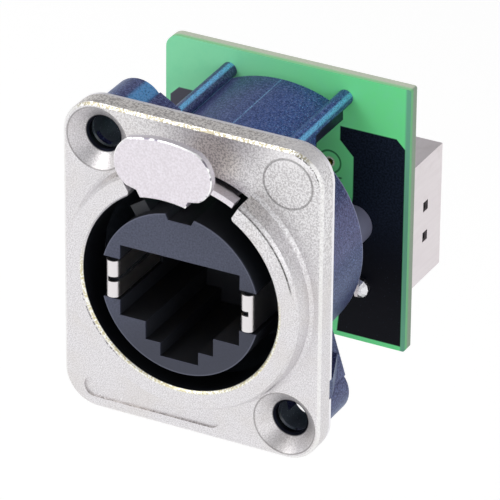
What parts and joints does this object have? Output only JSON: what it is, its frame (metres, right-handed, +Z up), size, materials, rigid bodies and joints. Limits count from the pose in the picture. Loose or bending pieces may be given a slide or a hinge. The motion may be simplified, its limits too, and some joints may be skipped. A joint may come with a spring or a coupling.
{
  "type": "ethernet panel connector",
  "caption": "Panel-mounted network socket with a pressed latch in front of a metal flange, feeding through a circuit board to a screened socket behind.",
  "frame": {"origin": "on the axis of the round front opening, in the plane where the back of the flange meets the panel", "axes": "+Z up, +X to the right seen from the front, the front faces -Y"},
  "size_m": [0.026, 0.0406, 0.032],
  "materials": {
    "cast_nickel": "satin nickel over a fine cast grain",
    "sheet_steel": "plain tinned sheet",
    "navy_moulding": "dark blue glass-filled moulding",
    "slate_moulding": "dark slate moulding",
    "latch_nickel": "satin nickel casting",
    "pin_steel": "ground steel",
    "spring_steel": "drawn spring wire",
    "spring_nickel": "bright nickel strip",
    "black_moulding": "black moulding",
    "green_board": "green solder resist over dark copper",
    "tinned_sheet": "tinned sheet, folded",
    "solder": "bright solder",
    "gold_contact": "gold plating"
  },
  "bodies": {
    "frame": {"front_flange": "cast_nickel", "ground_plate": "sheet_steel", "rear_housing": "navy_moulding", "jack_insert": "slate_moulding", "shield_spring_left": "spring_nickel", "shield_spring_right": "spring_nickel", "latch_pin": "pin_steel", "latch_spring": "spring_steel", "contact_carrier": "black_moulding", "front_contact_1": "gold_contact", "front_contact_2": "gold_contact", "front_contact_3": "gold_contact", "front_contact_4": "gold_contact", "front_contact_5": "gold_contact", "front_contact_6": "gold_contact", "front_contact_7": "gold_contact", "front_contact_8": "gold_contact", "front_solder": "solder", "circuit_board": "green_board", "rear_contact_1": "gold_contact", "rear_contact_2": "gold_contact", "rear_contact_3": "gold_contact", "rear_contact_4": "gold_contact", "rear_contact_5": "gold_contact", "rear_contact_6": "gold_contact", "rear_contact_7": "gold_contact", "rear_contact_8": "gold_contact", "rear_solder": "solder", "leg_solder": "solder", "rear_jack_shield": "tinned_sheet", "rear_jack_body": "black_moulding"},
    "latch": {"latch_lever": "latch_nickel"}
  },
  "joints": [
    {"name": "latch_press", "type": "hinge", "parent": "frame", "child": "latch", "pos_m": [0, 0.0084, 0.01], "axis": [-1, 0, 0], "range_deg": [0, 3.5], "stiffness_Nm_per_rad": 0.02, "springref_deg": -17.19, "deforming": ["latch_spring"]}
  ]
}
